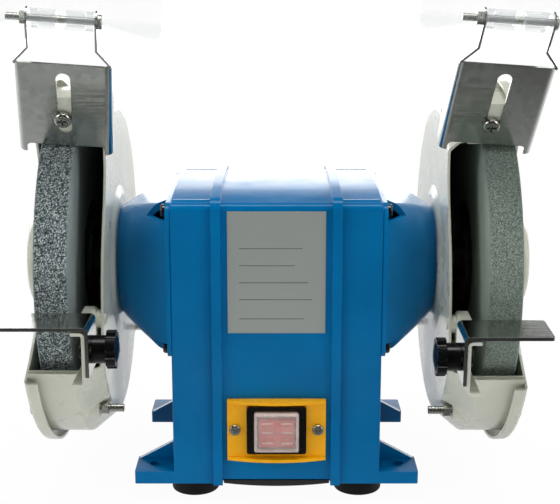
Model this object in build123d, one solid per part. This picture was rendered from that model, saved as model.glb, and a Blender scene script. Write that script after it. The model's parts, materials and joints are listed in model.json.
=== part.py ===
from build123d import *
import os
from math import cos, radians, sin

# Double-ended bench grinder, in millimetres.
# X runs along the spindle (+X is the right-hand wheel), -Y is the front, +Z is up.
# The origin is the centre of the four base holes, on the underside of the base.

# ---------------------------------------------------------------- driving dimensions
AXIS_H = 129.0            # spindle axis above the underside of the base
CLEAR = 0.1               # gap round a fastener, and between sheets that slide
FIT = 0.02                # gap of a piece that fits its shaft or thread closely

HOUSING_X = 128.0         # motor housing, along the spindle
HOUSING_Y = 132.0         # motor housing, front to back
SHOULDER_H = 177.0        # where the front and back walls meet the roof
CROWN_RISE = 4.0          # rise of the domed roof above the shoulders
WALL = 4.0
SHOULDER_R = 4.0
END_ROUND = 1.2           # rounding of the housing's two end rims
RIB_X = 36.3              # centre of each rib
RIB_W = 5.8
RIB_PROUD = 3.0
PANEL_LIFT = 3.0          # the middle panels stop this far above the base
CRADLE_T = 6.0            # webs that hold the stator, and how far they reach below it
CRADLE_DROP = 12.0
BELL_BOSS_X = 40.0        # inner end of the bosses for the bell screws
BELL_BOSS_R = 7.0

# Screws: head radius, head height, shank radius, length
PLATE_SCREW = (3.6, 2.4, 2.0, 10.0)
FOOT_SCREW = (4.5, 3.0, 2.5, 18.0)
BELL_SCREW = (4.2, 3.2, 2.5, 18.0)
GUARD_SCREW = (4.2, 3.0, 2.5, 8.0)
DEFLECTOR_SCREW = (5.0, 3.4, 2.5, 12.0)
SWITCH_SCREW = (3.5, 2.4, 1.75, 11.0)
SHIELD_BOLT = (4.0, 2.6, 2.0, 50.0)
COVER_SCREW = (4.6, 4.2, 2.5)     # its length follows from the cover
M4_R = 2.0
M5_R = 2.5
M5_HOLE_R = M5_R + CLEAR

EAR_REACH = 88.3          # outer end of the ears, from the centre
EAR_Y = (40.5, 66.0)
EAR_T = 7.8
EAR_WEB_T = 4.0
EAR_WEB_H = 20.5
EAR_ROUND = 1.5
EAR_WEB_SETBACK = 1.0     # the web stops this far inside the ear's end
BASE_HOLE = (76.0, 52.0)
BASE_HOLE_R = 4.0
FOOT_AT = (51.7, 45.0)
FOOT_R = 15.0
FOOT_H = 11.0
FOOT_BOSS_R = 9.0
FOOT_BOSS_H = 22.0
FOOT_HOLE_DEPTH = 17.0
FOOT_ROUND = 1.5
FOOT_RECESS = (6.0, 6.0)  # radius and depth of the recess for the screw's head
PLATE_SCREW_AT = (22.0, 56.0)
PLATE_BOSS_R = 7.0
PLATE_BOSS_TOP = 17.0
PLATE_HOLE_DEPTH = 13.0
PLATE_T = 2.0             # bottom plate
PLATE_GAP = 0.5
TONGUE_DROP = 2.0         # bow of the bottom plate's tongues below the base
TONGUE_GAP = 0.8          # from a tongue's face to the housing's front

BELL_END_X = 100.0
BELL_FLANGE_T = 2.5
BELL_HUB_R = 34.5
# Sections of the bell as it narrows: place along X, half depth, half height, corner radius
BELL_SECTIONS = ((66.5, 66.0, 48.0, 8.0), (77.0, 57.5, 44.0, 19.0), (89.0, 46.5, 39.5, 28.0),
                 (BELL_END_X, BELL_HUB_R, BELL_HUB_R, BELL_HUB_R - 0.1))
BELL_ROUND_MIN = 3.0      # of its corners on the inside
BELL_T = 5.0              # its wall
BELL_MOUTH_IN = (15.0, 7.0)   # width of the flange: front and back, top and bottom
BELL_HUB_WALL = 4.5       # wall round the bearing
BELL_BORE_R = 10.5
GUARD_SCREW_R = 26.5      # pitch radius of the screws that hold a guard
GUARD_SCREW_COUNT = 3
GUARD_HOLE_DEPTH = 8.0
GUARD_BORE_R = 15.0
BELL_SCREW_AT = (56.5, 42.5)
POCKET_Y = 49.0
POCKET_Z = 38.0
STATOR_R = 46.0
STATOR_BORE_R = 27.5
STATOR_HALF = 25.0
SLOT_COUNT = 24
SLOT_R = 3.0              # round bottom of a slot
SLOT_MOUTH = (6.0, 1.6)   # radial depth and width of its mouth
SLOT_MOUTH_AT = 30.0
COIL_SIDE_R = 2.7         # coil side in a slot
COIL_SIDE_AT = 34.5       # its distance from the spindle axis
END_TURN = (15.0, 11.0)   # section of the bundle of end turns: along X, radial
END_TURN_ROUND = 4.0
END_TURN_OUT = 8.0        # its middle, outside the core's end
END_TURN_R = 36.0
AIR_GAP = 0.5
CAGE_RING = (6.0, 25.0, 15.0)     # length, outer and inner radius
CAGE_FIN = (5.0, 6.0, 1.6)
CAGE_FIN_AT = (8.0, 21.0)         # out from the core's end, from the axis
CAGE_FINS = 8

BEARING_X = (82.0, 94.0)
BEARING_R = 20.0
BEARING_LANDS = (12.1, 16.4)      # outside of the inner ring, inside of the outer ring
BALL_R = 3.1
BALL_PLAY = 0.2
BALL_COUNT = 8
SEAT_R = 8.5              # bearing seat on the shaft
BODY_R = 9.5              # shaft through the rotor
SPINDLE_R = 8.0
SHAFT_STEP_X = 97.0
SHAFT_END = 154.0         # left end; the right end is further out by the wheel's shift
SHAFT_CHAMFER = 1.5

WHEEL_R = 100.0
WHEEL_X = (119.5, 139.5)
WHEEL_BORE_R = 16.0
WHEEL_CHAMFER = 0.8
SPINDLE_NUT = (24.0, 9.0)     # across flats, height
FLANGE_R = 35.0
OUTER_FLANGE_R = 26.0
BLOTTER_R = 38.0
BLOTTER_T = 0.4
BLOTTER_PLAY = 2.0        # round the shaft
FLANGE_T = 3.5
FLANGE_LAND = 11.0        # width of the rim that bears on the blotter
FLANGE_EYE = 4.0          # solid width round the shaft
FLANGE_RELIEF = 1.0
FLANGE_HUB = (103.0, 12.5)    # start along X and radius of the inner flange's hub
FLANGE_SLEEVE = (97.2, 9.9)
WHEEL_SHIFT = {"left": 0.0, "right": 2.2}   # how much further out each wheel is clamped

SHEET = 1.5               # guard and cover sheet
GUARD_R = 111.0           # outside of the guard's band
GUARD_WALL_X = 101.8      # motor side of the guard's inner wall
GUARD_EDGE_X = 144.9      # outer edge of the band
GUARD_BEVEL = (15.5, 13.0)   # bevel between the wall and the band: along X, radial
BEVEL_SHARE = 0.42        # how far a sheet's thickness moves the inner corners
GUARD_BEND_R = 2.5
GUARD_HUB_R = 42.0
GUARD_DISH_R = 48.0
COVER_RIM_IN = 115.2
COVER_RIM_W = 8.0
COVER_RIM_ROUND = 3.0
COVER_BOSS_R = 29.0
COVER_BOSS_X = {"left": 157.8, "right": 160.0}
COVER_BOSS_ROUND = (4.0, 2.5)     # outside, inside
LIP_Z = -45.2             # front lip of the band, below the spindle axis
LIP_STRIP = (-6.0, 0.8)   # the doubled strip behind the lip, below and above it
# Edges of the openings at the front, drawn in Y and height from the spindle axis
GUARD_WINDOW = ((-88, LIP_Z), (-84, -10), (-75, 23), (-54.3, 70))
COVER_WINDOW = ((-112, -54), (-92, -43.5), (-68, -28), (-46, 2), (-32, 40), (-32, 65), (-38, 80.5))
GUARD_WINDOW_TOP = 6.0    # where the edges meet the deflector, behind its front face
COVER_WINDOW_TOP = 16.0
COVER_SCREW_R = 103.5     # pitch radius of the cover screws
COVER_SCREW_DEG = (229.0, 318.0, 6.0)
SCREW_TIP_X = 93.5
SCREW_SEAT_X = 108.0      # flat seats on the bevel under the cover screws' nuts
SCREW_SEAT_R = 6.2
SPRING_WASHER = (4.2, 1.3)        # radius, thickness
COVER_NUT = (8.0, 4.0)            # across flats, height
GUARD_TURN = {"left": 0.0, "right": 2.4}   # each guard's turn about the spindle

DEFLECTOR_LEAN = 31.7     # top edge leans to the front
DEFLECTOR_ROLL = 4.8      # tipped about its clamp screw
DEFLECTOR_FOOT = (-60.0, 82.7)   # Y and height of its lower edge, from the axis
DEFLECTOR_HALF_W = 27.4
DEFLECTOR_H = 58.0
DEFLECTOR_T = 1.2
DEFLECTOR_FLANGE = 12.0
DEFLECTOR_BEND = (4.0, 2.8)       # outside, inside
NOTCH_ROUND = 3.0
LEG_W = 4.5
LEG_H = 6.0
DEFLECTOR_SLOT = (9.0, 52.0)
SLOT_W = 8.0
CLAMP_UP = 20.0           # clamp screw above the lower edge
CLAMP_X = 123.5
DEFLECTOR_LIFT = {"left": 0.0, "right": 5.0}
SLOT_OFFSET = {"left": 1.0, "right": 0.8}
TAB_X = (112.0, 142.0)
TAB_END = 14.0            # tab above the clamp screw
TAB_START = 4.0
EAR_OUT = 19.5            # outer faces of the deflector's ears
JOG_H = 10.0
JOG_START = 0.6
EAR_ROUND_OVER = 6.0      # ear above the shield bolt
PIVOT_UP = 64.0           # shield bolt above the clamp screw, before any lift
PIVOT_BACK = 6.0
SHIELD_BACK_TILT = 11.7
SHIELD_HALF_W = 55.0
SHIELD_TOP = 80.0
SHIELD_T = 2.5
SHIELD_GAP = 7.0          # from the bolt axis to the back of the clear plate
SHIELD_FOOT = (-6.0, 2.0)         # lower edge beside and between the ears
SHIELD_FOOT_X = 24.0
SHIELD_ROUND = 6.0
SHIELD_NUT = (7.0, 3.2)
KNUCKLE_IN = 2.5          # inner end of each knuckle
KNUCKLE_R = 3.2
KNUCKLE_COLLAR = (5.0, 5.25)      # length, radius
KNUCKLE_WEB = (-2.5, 6.5)
KNUCKLE_CLEAR = 0.5

REST_X = (103.9, 154.0)
REST_Y = (-132.0, -101.5)
REST_TOP = -8.5
REST_T = 2.0
REST_DROP = 28.8
REST_BEND = (3.0, 1.0)    # outside, inside
REST_ROUND = 2.0
REST_SLOT_W = 6.6
BRACKET_X = 106.0         # motor side of the bracket, on pads of the guard's wall
BRACKET_Y = (-131.0, -75.0)
BRACKET_Z = (-43.8, -11.6)
BRACKET_LIP = 8.0
BRACKET_NUT = (10.0, 3.0)
RIVET_AT = ((-80.0, -18.0), (-80.0, -34.0))
RIVET_R = 2.0
RIVET_HEAD = (3.4, 1.2)   # radius, height
PAD_R = 5.5
KNOB_AT = (-116.0, -25.5)
KNOB_SLOT_Y = (-128.5, -104.5)
KNOB_SHANK_R = 8.0
KNOB_R = 11.0
KNOB_X = (88.7, 95.7)
KNOB_CHAMFER = 1.5
KNOB_LOBES = 6
KNOB_SCALLOP = (3.0, 1.2)         # radius, and its centre outside the knob's radius
KNOB_DOME_R = 24.0
KNOB_DOME_IN = 2.2        # rim round the dome
STUD_R = 3.0
STUD_GRIP = 4.0           # stud moulded into the head
KNOB_STUD_END = 111.0

SWITCH_Z = 36.8
SWITCH_PLATE = (60.6, 39.0)
SWITCH_PLATE_Z = 36.5
SWITCH_PLATE_T = 2.5
SWITCH_SCREW_X = 25.5
LEDGE_T = 2.0             # bowed ledges along the plate's top and bottom
LEDGE_OUT = (0.8, 5.5)    # how far they stand out, at the ends and in the middle
BEZEL = (36.6, 30.5)
BEZEL_T = 2.5
BEZEL_ROUND = 1.5
BODY_HOLE = (30.6, 23.6)
BODY_PLAY = 0.2           # between the case and the hole in the panel
BODY_BACK_Y = -42.0
TERMINAL = (6.0, 8.0, 0.8)        # width, length, thickness
TERMINAL_X = 8.0
ROCKER_HALF = (11.0, 9.3)
ROCKER_PLAY = (0.3, 1.4)  # beside it, above and below it
ROCKER_SIDE = (6.0, 7.5, 9.0)     # out from the pivot: corners, back corners, middle of the face
ROCKER_NARROW = 2.0
ROCKER_BAY = 11.0         # depth of its bay behind the pivot
ROCKER_PIN_R = 1.5
ROCKER_PIN_OUT = 1.4
ROCKER_PIN_HOLE = (13.0, 1.56)
ROCKER_REST = 8.0         # the rocker rests tipped this far, switched off
PIVOT_Y = -66.0
DUST_COVER = (27.4, 25.0)
DUST_COVER_H = 5.0
DUST_COVER_WALL = (1.0, 0.8)      # sides, face
DUST_COVER_ROUND = 1.5
NAMEPLATE = (59.0, 75.0)
NAMEPLATE_Z = 135.5
NAMEPLATE_T = 0.5
GLAND_Z = 24.0
GLAND_STEM = (9.0, 6.0, 22.0)     # radius at the wall and at the end, length
GLAND_FLANGE = (11.0, 3.0)
GLAND_PLUG = (6.0, 10.0)
GLAND_BORE_R = 3.6
GLAND_GROOVES = (8.0, 12.0, 16.0)
GLAND_GROOVE = (5.2, 1.6)         # radius at its bottom, width

CAP_R = 16.0              # capacitor
CAP_Y = 22.0
CAP_HALF = 30.0
CAP_ROUND = 1.5
CLAMP_T = 1.5
CLAMP_HALF = (6.0, 26.0)  # along X, front to back

FRONT = -HOUSING_Y / 2
SIDES = {"left": -1, "right": 1}
nodes = {}


# ---------------------------------------------------------------- helpers
def block(x, y, z):
    """Box between two limits on each axis."""
    size = [abs(v[1] - v[0]) for v in (x, y, z)]
    middle = [(v[0] + v[1]) / 2 for v in (x, y, z)]
    return Pos(*middle) * Box(*size)


def rod(x0, x1, radius, y=0.0, z=0.0):
    """Cylinder along X."""
    return Pos((x0 + x1) / 2, y, z) * Rot(0, 90, 0) * Cylinder(radius, abs(x1 - x0))


def ring(x0, x1, outer, inner):
    return rod(x0, x1, outer) - rod(x0 - 1, x1 + 1, inner)


def turned(points):
    """Solid turned about the X axis from (x, radius) points."""
    return revolve(make_face(Polyline(*points, close=True)), Axis.X)


def side_cut(outline, x0, x1):
    """Prism along X from a face drawn in Y and Z."""
    return Pos(x0, 0, 0) * extrude(Plane.YZ * outline, x1 - x0)


def screw(head_r, head_h, shank_r, length):
    """Cross-recess pan head: seat at Z 0, head above it, shank down to -length."""
    head = Pos(0, 0, head_h / 2) * Cylinder(head_r, head_h)
    head = fillet(head.edges().sort_by(Axis.Z)[-1:], head_h * 0.45)
    body = head + Pos(0, 0, -length / 2) * Cylinder(shank_r, length)
    for turn in (0, 90):
        body -= Pos(0, 0, head_h) * Rot(0, 0, turn) * Box(head_r * 1.1, head_r * 0.22, head_h)
    return body


def nut(across_flats, height, bore_r):
    """Hexagon nut standing on Z 0."""
    hexagon = RegularPolygon(across_flats / 2, 6, major_radius=False)
    cone = Cone(across_flats * 0.5 + height, across_flats * 0.5 + 0.2, height)
    body = extrude(hexagon, height) & (Pos(0, 0, height / 2) * cone)
    return body - Pos(0, 0, height / 2) * Cylinder(bore_r, height * 2)


def facing_x(shape, x, y, z, side=1):
    """Turn a shape's Z axis to +X or -X and put it at a point."""
    return Pos(x, y, z) * Rot(0, 90 * side, 0) * shape


def both(shape):
    """A right-hand shape and its left-hand mirror image."""
    return [shape, mirror(shape, Plane.YZ)]


def corners(spot):
    """Four points at plus and minus each value."""
    return [(sx * spot[0], sy * spot[1]) for sx in (-1, 1) for sy in (-1, 1)]


def save(name, shape):
    nodes[name] = shape if isinstance(shape, list) else [shape]


def on_axis(shape):
    """Lift a shape drawn about the spindle axis to its height."""
    return Pos(0, 0, AXIS_H) * shape


def on_guard(side, shape):
    """Place a right-hand guard piece, drawn about the spindle axis, on either side."""
    if side == "left":
        shape = mirror(shape, Plane.YZ)
    return on_axis(Rot(GUARD_TURN[side], 0, 0) * shape)


# ---------------------------------------------------------------- motor housing
def housing_section(inset, floor):
    """Side view of the housing, drawn in Y and Z and shrunk all round by inset."""
    half = HOUSING_Y / 2 - inset
    shoulder = SHOULDER_H - inset
    walls = Polyline((-half, shoulder), (-half, floor), (half, floor), (half, shoulder))
    roof = ThreePointArc((half, shoulder), (0, shoulder + CROWN_RISE), (-half, shoulder))
    return make_face(walls + roof)


def round_shoulders(solid, radius):
    edges = solid.edges().filter_by(Axis.X)
    return fillet(edges.filter_by(lambda e: e.center().Z > SHOULDER_H - WALL), radius)


def ear():
    """Mounting ear at the front right corner, with its web."""
    pad = block((HOUSING_X / 2 - WALL, EAR_REACH), (-EAR_Y[1], -EAR_Y[0]), (0, EAR_T))
    pad = fillet(pad.edges().filter_by(Axis.Z).sort_by(Axis.X)[-2:], EAR_ROUND)
    outer = HOUSING_X / 2
    tip = EAR_REACH - EAR_WEB_SETBACK
    gusset = Polyline((outer - WALL, 0), (tip, 0), (tip, EAR_T),
                      (outer, EAR_WEB_H), (outer - WALL, EAR_WEB_H), close=True)
    web = Pos(0, -EAR_Y[0], 0) * extrude(Plane.XZ * make_face(gusset), EAR_WEB_T)
    return pad + web - Pos(BASE_HOLE[0], -BASE_HOLE[1], 0) * Cylinder(BASE_HOLE_R, 4 * EAR_T)


def center_housing():
    half = HOUSING_X / 2
    body = round_shoulders(side_cut(housing_section(0, 0), -half, half), SHOULDER_R)
    end_rims = body.edges().filter_by(lambda e: abs(abs(e.center().X) - half) < 0.01)
    body = fillet(end_rims.filter_by(lambda e: e.center().Z > WALL), END_ROUND)
    rib = side_cut(housing_section(-RIB_PROUD, 0), RIB_X - RIB_W / 2, RIB_X + RIB_W / 2)
    rib = round_shoulders(rib, SHOULDER_R + RIB_PROUD)
    for item in both(rib):
        body += item
    for item in both(ear()):
        body += item
        body += mirror(item, Plane.XZ)
    body -= side_cut(housing_section(WALL, -WALL), WALL - half, half - WALL)
    cradle = housing_section(WALL / 2, AXIS_H - STATOR_R - CRADLE_DROP)
    web = side_cut(cradle, STATOR_HALF - CRADLE_T, STATOR_HALF)
    for item in both(web):
        body += item
    for y, z in corners(BELL_SCREW_AT):
        for item in both(rod(BELL_BOSS_X, half - WALL / 2, BELL_BOSS_R, y, z)):
            body += on_axis(item)
    for x, y in corners(FOOT_AT):
        body += Pos(x, y, FOOT_BOSS_H / 2) * Cylinder(FOOT_BOSS_R, FOOT_BOSS_H)
        body -= Pos(x, y, 0) * Cylinder(M5_HOLE_R, 2 * FOOT_HOLE_DEPTH)
    for x, y in corners(PLATE_SCREW_AT):
        body += Pos(x, y, (PLATE_T + PLATE_BOSS_TOP) / 2) * Cylinder(PLATE_BOSS_R, PLATE_BOSS_TOP - PLATE_T)
        body -= Pos(x, y, 0) * Cylinder(M4_R + CLEAR, 2 * PLATE_HOLE_DEPTH)
    middle = RIB_X - RIB_W / 2
    for y in (FRONT, -FRONT):
        body -= block((-middle, middle), (y - WALL, y + WALL), (-1, PANEL_LIFT))
    body -= block((-BODY_HOLE[0] / 2, BODY_HOLE[0] / 2), (FRONT - 1, FRONT + WALL + 1),
                  (SWITCH_Z - BODY_HOLE[1] / 2, SWITCH_Z + BODY_HOLE[1] / 2))
    for x in (-SWITCH_SCREW_X, SWITCH_SCREW_X):
        body -= Pos(x, FRONT, SWITCH_Z) * Rot(90, 0, 0) * Cylinder(SWITCH_SCREW[2] + CLEAR, 4 * WALL)
    body -= Pos(0, -FRONT, GLAND_Z) * Rot(90, 0, 0) * Cylinder(GLAND_PLUG[0] + CLEAR, 4 * WALL)
    body -= on_axis(rod(-half - 1, half + 1, STATOR_R))
    for y, z in corners(BELL_SCREW_AT):
        for x in (-1, 1):
            body -= on_axis(rod(x * (BELL_BOSS_X + 2), x * (half + 1), M5_HOLE_R, y, z))
    return body


def bottom_plate():
    """Pressed sheet that closes the base, with a bowed tongue front and back."""
    inner = HOUSING_X / 2 - WALL - PLATE_GAP
    front = FRONT + WALL + PLATE_GAP
    plate = block((-inner, inner), (front, -front), (0, PLATE_T))
    for x, y in corners(FOOT_AT):
        plate -= Pos(x, y, 0) * Cylinder(FOOT_BOSS_R + PLATE_GAP, 3 * PLATE_T)
    half = RIB_X - RIB_W / 2 - PLATE_GAP
    drop = Polyline((-half, 0), (-half, PLATE_T), (half, PLATE_T), (half, 0))
    edge = make_face(drop + ThreePointArc((half, 0), (0, -TONGUE_DROP), (-half, 0)))
    tongue = Pos(0, front + 1, 0) * extrude(Plane.XZ * edge, front + 1 - FRONT - TONGUE_GAP)
    plate += tongue
    plate += mirror(tongue, Plane.XZ)
    for x, y in corners(PLATE_SCREW_AT):
        plate -= Pos(x, y, 0) * Cylinder(M4_R + CLEAR, 3 * PLATE_T)
    return plate


def rubber_foot():
    foot = Pos(0, 0, -FOOT_H / 2) * Cylinder(FOOT_R, FOOT_H)
    foot = fillet(foot.edges().sort_by(Axis.Z)[:1], FOOT_ROUND)
    foot -= Pos(0, 0, -FOOT_H) * Cylinder(FOOT_RECESS[0], 2 * FOOT_RECESS[1])
    return foot - Cylinder(M5_HOLE_R, 3 * FOOT_H)


save("center_housing", center_housing())
save("bottom_plate", bottom_plate())
save("bottom_plate_screws", [Pos(x, y, 0) * Rot(180, 0, 0) * screw(*PLATE_SCREW)
                             for x, y in corners(PLATE_SCREW_AT)])
save("rubber_feet", [Pos(x, y, 0) * rubber_foot() for x, y in corners(FOOT_AT)])
save("foot_screws", [Pos(x, y, FOOT_RECESS[1] - FOOT_H) * Rot(180, 0, 0) * screw(*FOOT_SCREW)
                     for x, y in corners(FOOT_AT)])


# ---------------------------------------------------------------- end bells
def bell_form(inset):
    """Tapered shell of a right-hand bell, shrunk all round by inset."""
    faces = []
    for x, half_y, half_z, round_r in BELL_SECTIONS:
        corner_r = max(round_r - inset, BELL_ROUND_MIN)
        face = RectangleRounded(2 * (half_y - inset), 2 * (half_z - inset), corner_r)
        faces.append(Pos(x, 0, 0) * (Plane.YZ * face))
    return loft(faces)


def end_bell(turn):
    """Right-hand end bell, drawn about the spindle axis: flange, tapered shell, bearing hub."""
    x0 = HOUSING_X / 2
    flange_x, half_y, half_z, corner_r = BELL_SECTIONS[0]
    flange_face = RectangleRounded(2 * half_y, 2 * half_z, corner_r)
    body = side_cut(flange_face, x0, flange_x) + bell_form(0)
    mouth = RectangleRounded(2 * (half_y - BELL_MOUTH_IN[0]), 2 * (half_z - BELL_MOUTH_IN[1]), corner_r)
    cavity = side_cut(mouth, x0 - 1, flange_x + 2)
    bearing_mid = sum(BEARING_X) / 2
    cavity += bell_form(BELL_T) & block((x0, bearing_mid + 2), (-half_y, half_y), (-half_z, half_z))
    body -= cavity
    body += rod(BEARING_X[0] - 2, BEARING_X[1] + 1, BEARING_R + BELL_HUB_WALL)
    body -= rod(BEARING_X[0] - 3, BEARING_X[1], BEARING_R)
    body -= rod(BEARING_X[0], BELL_END_X + 1, BELL_BORE_R)
    reach = BELL_END_X - x0
    for y, z in corners(BELL_SCREW_AT):
        lo_y, hi_y = sorted((y / abs(y) * POCKET_Y, y / abs(y) * (POCKET_Y + reach)))
        lo_z, hi_z = sorted((z / abs(z) * POCKET_Z, z / abs(z) * (POCKET_Z + reach)))
        body -= block((flange_x, flange_x + reach), (lo_y, hi_y), (lo_z, hi_z))
        body -= rod(x0 - 1, flange_x + 1, M5_HOLE_R, y, z)
    for y, z in guard_screw_spots():
        body -= Rot(turn, 0, 0) * rod(BELL_END_X - GUARD_HOLE_DEPTH, BELL_END_X + 1, M5_HOLE_R, y, z)
    return body


def on_circle(radius, degrees):
    """Point in Y and Z on a circle about the spindle axis."""
    return (radius * cos(radians(degrees)), radius * sin(radians(degrees)))


def guard_screw_spots():
    return [on_circle(GUARD_SCREW_R, 90 + i * 360 / GUARD_SCREW_COUNT) for i in range(GUARD_SCREW_COUNT)]


save("right_end_bell", on_axis(end_bell(GUARD_TURN["right"])))
save("left_end_bell", on_axis(mirror(end_bell(GUARD_TURN["left"]), Plane.YZ)))
bell_screws = []
for y, z in corners(BELL_SCREW_AT):
    bell_screws += both(on_axis(facing_x(screw(*BELL_SCREW), HOUSING_X / 2 + BELL_FLANGE_T, y, z)))
save("end_bell_screws", bell_screws)


# ---------------------------------------------------------------- motor inside
def polar_x(shape, count, radius):
    """Copies of a shape on a circle round the X axis."""
    return [Rot(i * 360 / count, 0, 0) * Pos(0, radius, 0) * shape for i in range(count)]


def stator_core():
    reach = 2 * STATOR_HALF
    core = ring(-STATOR_HALF, STATOR_HALF, STATOR_R, STATOR_BORE_R)
    for item in polar_x(rod(-reach, reach, SLOT_R), SLOT_COUNT, COIL_SIDE_AT):
        core -= item
    for item in polar_x(Box(reach, *SLOT_MOUTH), SLOT_COUNT, SLOT_MOUTH_AT):
        core -= item
    return core


def stator_windings():
    """Coil sides in the slots, joined by a round bundle of end turns at each end."""
    ring_face = Pos(STATOR_HALF + END_TURN_OUT, END_TURN_R) * RectangleRounded(*END_TURN, END_TURN_ROUND)
    end_turns = revolve(ring_face, Axis.X)
    reach = STATOR_HALF + END_TURN_OUT
    sides = polar_x(rod(-reach, reach, COIL_SIDE_R), SLOT_COUNT, COIL_SIDE_AT)
    return end_turns + mirror(end_turns, Plane.YZ) + sides


def shaft():
    halves = {}
    for side, shift in WHEEL_SHIFT.items():
        end = SHAFT_END + shift
        halves[side] = turned([(0, 0), (0, BODY_R), (BEARING_X[0], BODY_R), (BEARING_X[0], SEAT_R),
                               (SHAFT_STEP_X, SEAT_R), (SHAFT_STEP_X, SPINDLE_R),
                               (end - SHAFT_CHAMFER, SPINDLE_R), (end, SPINDLE_R - SHAFT_CHAMFER), (end, 0)])
    return halves["right"] + mirror(halves["left"], Plane.YZ)


BALL_PITCH = (SEAT_R + BEARING_R) / 2
bearing_mid = sum(BEARING_X) / 2
groove = revolve(Pos(bearing_mid, BALL_PITCH) * Circle(BALL_R + BALL_PLAY), Axis.X)
outer_ring = ring(*BEARING_X, BEARING_R, BEARING_LANDS[1]) - groove
inner_ring = ring(*BEARING_X, BEARING_LANDS[0], SEAT_R) - groove
balls = [Pos(bearing_mid, 0, 0) * ball for ball in polar_x(Sphere(BALL_R), BALL_COUNT, BALL_PITCH)]
rotor_core = ring(-STATOR_HALF, STATOR_HALF, STATOR_BORE_R - AIR_GAP, BODY_R)
cage_ring = ring(STATOR_HALF, STATOR_HALF + CAGE_RING[0], *CAGE_RING[1:])
for fin in polar_x(Box(*CAGE_FIN), CAGE_FINS, CAGE_FIN_AT[1]):
    cage_ring += Pos(STATOR_HALF + CAGE_FIN_AT[0], 0, 0) * fin

save("stator_core", on_axis(stator_core()))
save("stator_windings", on_axis(stator_windings()))
save("shaft", on_axis(shaft()))
save("rotor_core", on_axis(rotor_core))
save("rotor_cage", [on_axis(item) for item in both(cage_ring)])
save("bearing_outer_rings", [on_axis(item) for item in both(outer_ring)])
save("bearing_inner_rings", [on_axis(item) for item in both(inner_ring)])
save("bearing_balls", [on_axis(item) for ball in balls for item in both(ball)])

cap_z = PLATE_T + CLAMP_T + CAP_R
clamp_half, clamp_foot = CLAMP_HALF
clamp = rod(-clamp_half, clamp_half, CAP_R + CLAMP_T, CAP_Y, cap_z)
clamp += block((-clamp_half, clamp_half), (CAP_Y - clamp_foot, CAP_Y + clamp_foot),
               (PLATE_T, PLATE_T + CLAMP_T))
clamp -= rod(-CAP_HALF, CAP_HALF, CAP_R + CLEAR, CAP_Y, cap_z)
save("capacitor", fillet(rod(-CAP_HALF, CAP_HALF, CAP_R, CAP_Y, cap_z).edges(), CAP_ROUND))
save("capacitor_clamp", clamp)


# ---------------------------------------------------------------- wheels on the spindle
def wheel():
    body = ring(*WHEEL_X, WHEEL_R, WHEEL_BORE_R)
    rims = body.edges().filter_by(GeomType.CIRCLE)
    return chamfer(rims.filter_by(lambda e: e.radius > WHEEL_R - 1), WHEEL_CHAMFER)


def flange_disc(x0, x1, radius, relief_x):
    """Clamping flange with its middle relieved on the wheel side."""
    disc = ring(x0, x1, radius, SPINDLE_R + FIT)
    return disc - ring(*relief_x, radius - FLANGE_LAND, SPINDLE_R + FLANGE_EYE)


def inner_flange(shift):
    """Flange on a hub and a sleeve that stand it off the shaft's step."""
    face = WHEEL_X[0] - BLOTTER_T
    body = flange_disc(face - FLANGE_T, face, FLANGE_R, (face - FLANGE_RELIEF, face + 1))
    body += ring(FLANGE_HUB[0] - shift, face - FLANGE_T, FLANGE_HUB[1], SPINDLE_R + FIT)
    return body + ring(FLANGE_SLEEVE[0] - shift, FLANGE_HUB[0] - shift, FLANGE_SLEEVE[1], SPINDLE_R + FIT)


def on_spindle(side, shape):
    """Place a piece of a wheel's stack, drawn on the right without a shift, on either side."""
    shape = Pos(WHEEL_SHIFT[side], 0, 0) * shape
    return on_axis(shape if side == "right" else mirror(shape, Plane.YZ))


blotter_in = WHEEL_X[0] - BLOTTER_T
blotter_out = WHEEL_X[1] + BLOTTER_T
outer_flange = flange_disc(blotter_out, blotter_out + FLANGE_T, OUTER_FLANGE_R,
                           (blotter_out - 1, blotter_out + FLANGE_RELIEF))
spindle_nut = facing_x(nut(*SPINDLE_NUT, SPINDLE_R + FIT), blotter_out + FLANGE_T, 0, 0)
blotters = [ring(blotter_in, WHEEL_X[0], BLOTTER_R, SPINDLE_R + BLOTTER_PLAY),
            ring(WHEEL_X[1], blotter_out, BLOTTER_R, SPINDLE_R + BLOTTER_PLAY)]
bush = ring(*WHEEL_X, WHEEL_BORE_R, SPINDLE_R + FIT)

for side in SIDES:
    save(side + "_wheel", on_spindle(side, wheel()))
save("wheel_bushes", [on_spindle(side, bush) for side in SIDES])
save("wheel_blotters", [on_spindle(side, disc) for disc in blotters for side in SIDES])
save("inner_flanges", [on_spindle(side, inner_flange(WHEEL_SHIFT[side])) for side in SIDES])
save("outer_flanges", [on_spindle(side, outer_flange) for side in SIDES])
save("spindle_nuts", [on_spindle(side, spindle_nut) for side in SIDES])


# ---------------------------------------------------------------- wheel guards
LEAN = radians(DEFLECTOR_LEAN)


def deflector_point(along, behind):
    """Y and height of a point in the deflector's side view, from its lower front edge."""
    y = DEFLECTOR_FOOT[0] - along * sin(LEAN) + behind * cos(LEAN)
    return (y, DEFLECTOR_FOOT[1] + along * cos(LEAN) + behind * sin(LEAN))


TAB_BEHIND = DEFLECTOR_T + CLEAR
far = GUARD_R + 60


def guard_window():
    """Region left open at the front of the guard, drawn in Y and height."""
    top = deflector_point(0, GUARD_WINDOW_TOP)
    edge = Spline(*GUARD_WINDOW, top)
    rest = Polyline(top, deflector_point(GUARD_WINDOW_TOP, TAB_BEHIND),
                    deflector_point(far, TAB_BEHIND), (-2 * far, far), (-2 * far, LIP_Z), GUARD_WINDOW[0])
    return make_face(edge + rest)


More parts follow.
